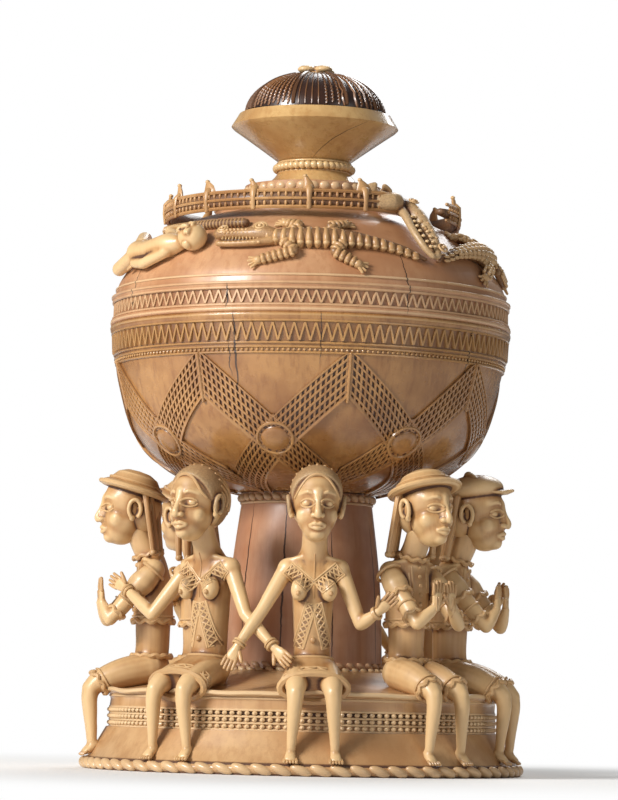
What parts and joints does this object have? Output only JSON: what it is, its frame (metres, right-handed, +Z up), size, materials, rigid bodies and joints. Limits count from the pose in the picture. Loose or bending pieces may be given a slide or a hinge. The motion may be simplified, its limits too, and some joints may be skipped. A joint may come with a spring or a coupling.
{
  "type": "salt cellar",
  "caption": "Carved ivory salt cellar: seated figures on a round plinth carry a latticed bowl with a lift-off domed lid and finial.",
  "frame": {"origin": "middle of the flat underside of the foot", "axes": "+Z up along the vessel's axis, -Y towards the woman in front, +X to the viewer's right"},
  "size_m": [0.1496, 0.1496, 0.2398],
  "materials": {
    "ivory": "polished aged ivory, satin",
    "golden_ivory": "carved aged ivory with dark grooves, satin",
    "tan_ivory": "pinkish tan aged ivory with age cracks, satin",
    "amber_ivory": "polished amber ivory, semi-gloss",
    "dark_stain": "dark brown stained ivory, glossy"
  },
  "bodies": {
    "base": {"base_plinth": "ivory", "drum": "tan_ivory", "bowl": "amber_ivory", "man_at_left": "golden_ivory", "woman_at_left": "golden_ivory", "woman_in_front": "golden_ivory", "man_at_right": "golden_ivory", "capped_man_at_right": "golden_ivory", "woman_behind_right": "golden_ivory", "woman_behind": "golden_ivory", "man_behind_left": "golden_ivory"},
    "lid": {"lid": "amber_ivory", "finial_cup": "ivory", "finial_cap": "dark_stain", "rosette": "golden_ivory", "crocodile_in_front": "golden_ivory", "crocodile_at_left": "golden_ivory", "crocodile_at_right": "golden_ivory", "crocodile_behind": "golden_ivory", "victim_at_left": "golden_ivory", "victim_at_right": "golden_ivory", "serpent": "golden_ivory"}
  },
  "joints": [
    {"name": "lid_lift", "type": "slide", "parent": "base", "child": "lid", "axis": [0, 0, 1], "range_m": [0, 0.08]}
  ]
}
